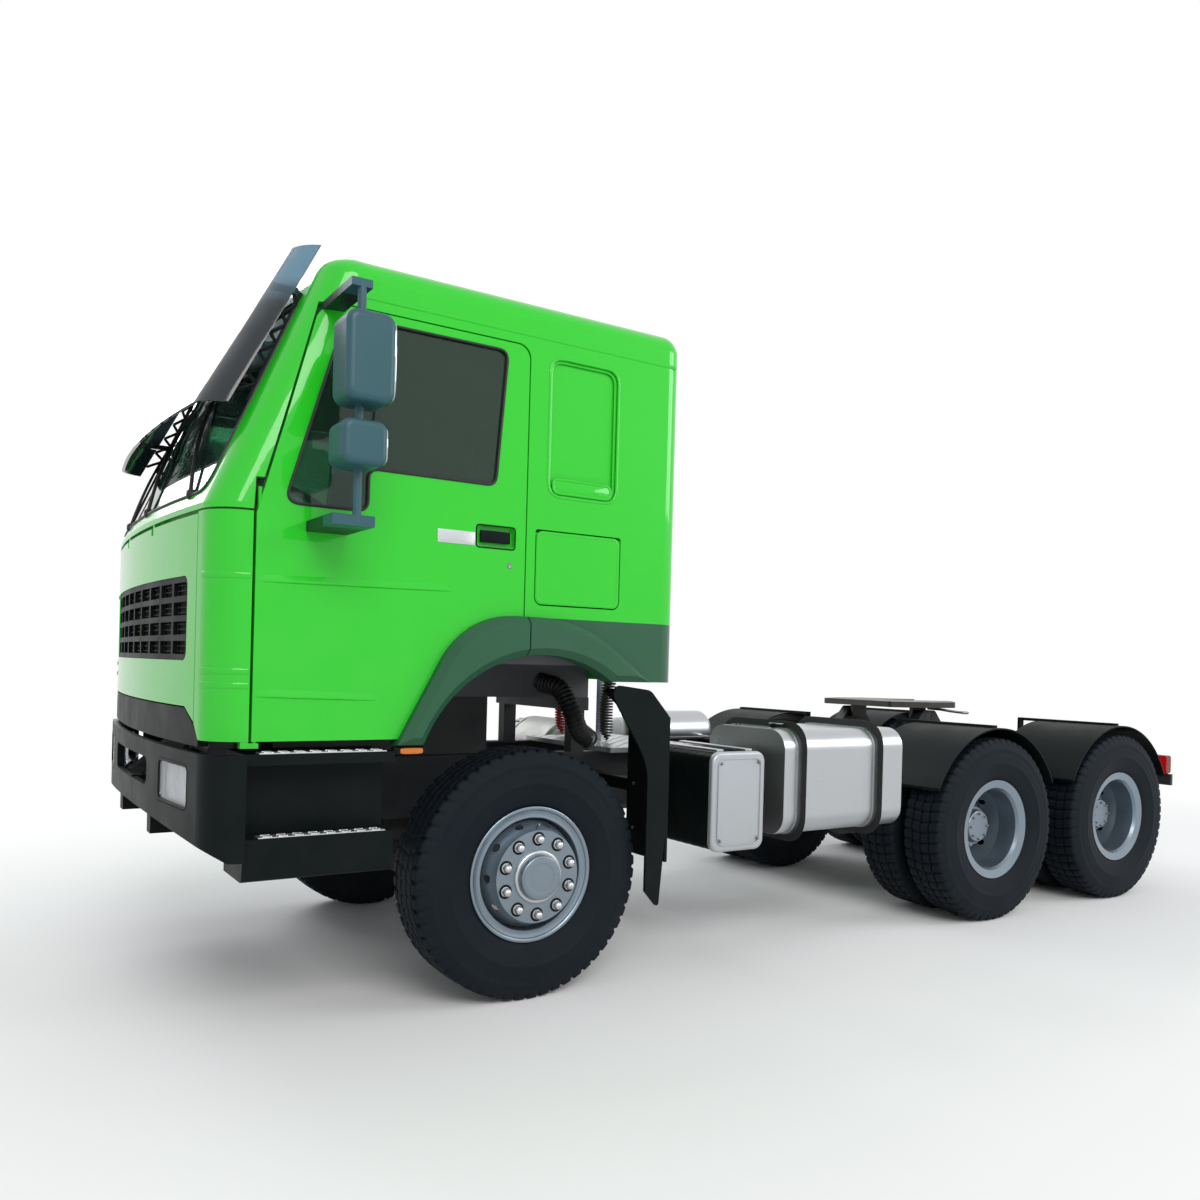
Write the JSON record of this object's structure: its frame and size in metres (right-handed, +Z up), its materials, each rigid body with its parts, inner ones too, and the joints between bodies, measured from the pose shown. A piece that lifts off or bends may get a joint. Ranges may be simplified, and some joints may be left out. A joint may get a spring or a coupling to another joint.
{
  "type": "semi truck tractor unit",
  "caption": "Six by four tractor unit with a tilting sleeper cab, swinging doors, lifting nose flap, steered front wheels, twin driven axles and a rocking fifth wheel.",
  "frame": {"origin": "on the ground under the middle of the length and width", "axes": "+X forward, +Y to the left, +Z up"},
  "size_m": [6.8, 3.12, 3.162],
  "materials": {
    "tyre_rubber": "matt rubber",
    "wheel_silver": "silver paint",
    "body_paint": "bright green gloss paint",
    "flare_plastic": "dark green grained plastic",
    "dark_plastic": "near-black grained plastic",
    "cab_glass": "dark tinted glass",
    "tinted_visor": "blue-black tinted sheet",
    "chassis_paint": "dark chassis paint",
    "coupling_steel": "greased steel",
    "engine_iron": "cast iron",
    "box_paint": "silver paint",
    "tank_aluminium": "brushed",
    "silencer_steel": "brushed",
    "lamp_cover": "clear cover",
    "cabin_plastic": "grained plastic",
    "seat_fabric": "woven fabric",
    "rim_grip": "grained plastic"
  },
  "bodies": {
    "chassis": {"frame_rails": "chassis_paint", "crossmembers": "chassis_paint", "axles": "chassis_paint", "springs": "chassis_paint", "drivetrain": "engine_iron", "bumper": "dark_plastic", "lamps": "lamp_cover", "steps": "dark_plastic", "mudguards": "dark_plastic", "battery_box": "box_paint", "fuel_tank": "tank_aluminium", "exhaust": "silencer_steel", "air_tanks": "tank_aluminium", "catwalk": "tank_aluminium", "cab_mounts": "chassis_paint", "fifth_wheel_base": "chassis_paint"},
    "cab": {"cab_roof": "body_paint", "cab_back": "body_paint", "cab_sides": "body_paint", "cab_front": "body_paint", "corner_panels": "body_paint", "lower_trim": "dark_plastic", "windscreen": "cab_glass", "arch_panels": "flare_plastic", "cab_floor": "cabin_plastic", "dashboard": "cabin_plastic", "seats": "seat_fabric", "bunk": "seat_fabric", "sun_visor": "tinted_visor"},
    "left_door": {"door_left": "body_paint", "door_glass_left": "cab_glass", "door_fittings_left": "flare_plastic"},
    "right_door": {"door_right": "body_paint", "door_glass_right": "cab_glass", "door_fittings_right": "flare_plastic"},
    "nose_flap": {"front_flap": "body_paint", "grille": "dark_plastic"},
    "left_locker_lid": {"hatch_left": "body_paint"},
    "right_locker_lid": {"hatch_right": "body_paint"},
    "steering_wheel": {"steering_wheel": "rim_grip"},
    "left_knuckle": {"knuckle_left": "chassis_paint"},
    "right_knuckle": {"knuckle_right": "chassis_paint"},
    "tie_rod": {"tie_rod": "chassis_paint"},
    "front_left_wheel": {"tyre_front_left": "tyre_rubber", "rim_front_left": "wheel_silver"},
    "front_right_wheel": {"tyre_front_right": "tyre_rubber", "rim_front_right": "wheel_silver"},
    "middle_left_wheels": {"tyre_rear_1_left": "tyre_rubber", "rim_rear_1_left": "wheel_silver"},
    "middle_right_wheels": {"tyre_rear_1_right": "tyre_rubber", "rim_rear_1_right": "wheel_silver"},
    "rear_left_wheels": {"tyre_rear_2_left": "tyre_rubber", "rim_rear_2_left": "wheel_silver"},
    "rear_right_wheels": {"tyre_rear_2_right": "tyre_rubber", "rim_rear_2_right": "wheel_silver"},
    "coupling_plate": {"fifth_wheel_plate": "coupling_steel"}
  },
  "joints": [
    {"name": "cab_tilt", "type": "hinge", "parent": "chassis", "child": "cab", "pos_m": [3.308, 0, 0.905], "axis": [0, 1, 0], "range_deg": [0, 50]},
    {"name": "left_door_swing", "type": "hinge", "parent": "cab", "child": "left_door", "pos_m": [3.133, 1.155, 1.6], "axis": [0, 0, -1], "range_deg": [0, 70]},
    {"name": "right_door_swing", "type": "hinge", "parent": "cab", "child": "right_door", "pos_m": [3.133, -1.155, 1.6], "axis": [0, 0, 1], "range_deg": [0, 70]},
    {"name": "nose_flap_lift", "type": "hinge", "parent": "cab", "child": "nose_flap", "pos_m": [3.358, 0, 2.032], "axis": [0, -1, 0], "range_deg": [0, 75]},
    {"name": "left_locker_lift", "type": "hinge", "parent": "cab", "child": "left_locker_lid", "pos_m": [1.72, 1.155, 2.079], "axis": [1, 0, 0], "range_deg": [0, 85]},
    {"name": "right_locker_lift", "type": "hinge", "parent": "cab", "child": "right_locker_lid", "pos_m": [1.72, -1.155, 2.079], "axis": [-1, 0, 0], "range_deg": [0, 85]},
    {"name": "left_steer", "type": "hinge", "parent": "chassis", "child": "left_knuckle", "pos_m": [1.9, 0.84, 0.562], "axis": [0, 0, 1], "range_deg": [-35, 35]},
    {"name": "right_steer", "type": "hinge", "parent": "chassis", "child": "right_knuckle", "pos_m": [1.9, -0.84, 0.562], "axis": [0, 0, 1], "range_deg": [-35, 35]},
    {"name": "tie_rod_turn", "type": "hinge", "parent": "left_knuckle", "child": "tie_rod", "pos_m": [1.7, 0.84, 0.43], "axis": [0, 0, 1], "range_deg": [-35, 35]},
    {"name": "steering_wheel_turn", "type": "hinge", "parent": "cab", "child": "steering_wheel", "pos_m": [2.76, 0.62, 2.11], "axis": [-0.5736, 0, 0.8192], "range_deg": [-565, 565]},
    {"name": "front_left_roll", "type": "hinge", "parent": "left_knuckle", "child": "front_left_wheel", "pos_m": [1.9, 1.011, 0.562], "axis": [0, 1, 0], "continuous": true},
    {"name": "front_right_roll", "type": "hinge", "parent": "right_knuckle", "child": "front_right_wheel", "pos_m": [1.9, -1.011, 0.562], "axis": [0, 1, 0], "continuous": true},
    {"name": "middle_left_roll", "type": "hinge", "parent": "chassis", "child": "middle_left_wheels", "pos_m": [-1.325, 0.915, 0.562], "axis": [0, 1, 0], "continuous": true},
    {"name": "middle_right_roll", "type": "hinge", "parent": "chassis", "child": "middle_right_wheels", "pos_m": [-1.325, -0.915, 0.562], "axis": [0, 1, 0], "continuous": true},
    {"name": "rear_left_roll", "type": "hinge", "parent": "chassis", "child": "rear_left_wheels", "pos_m": [-2.675, 0.915, 0.562], "axis": [0, 1, 0], "continuous": true},
    {"name": "rear_right_roll", "type": "hinge", "parent": "chassis", "child": "rear_right_wheels", "pos_m": [-2.675, -0.915, 0.562], "axis": [0, 1, 0], "continuous": true},
    {"name": "coupling_rock", "type": "hinge", "parent": "chassis", "child": "coupling_plate", "pos_m": [-1.7, 0, 1.215], "axis": [0, 1, 0], "range_deg": [-12, 12]}
  ],
  "couplings": [
    {"joint": "right_steer", "follows": "left_steer", "ratio": 1},
    {"joint": "tie_rod_turn", "follows": "left_steer", "ratio": -1},
    {"joint": "steering_wheel_turn", "follows": "left_steer", "ratio": 16}
  ]
}
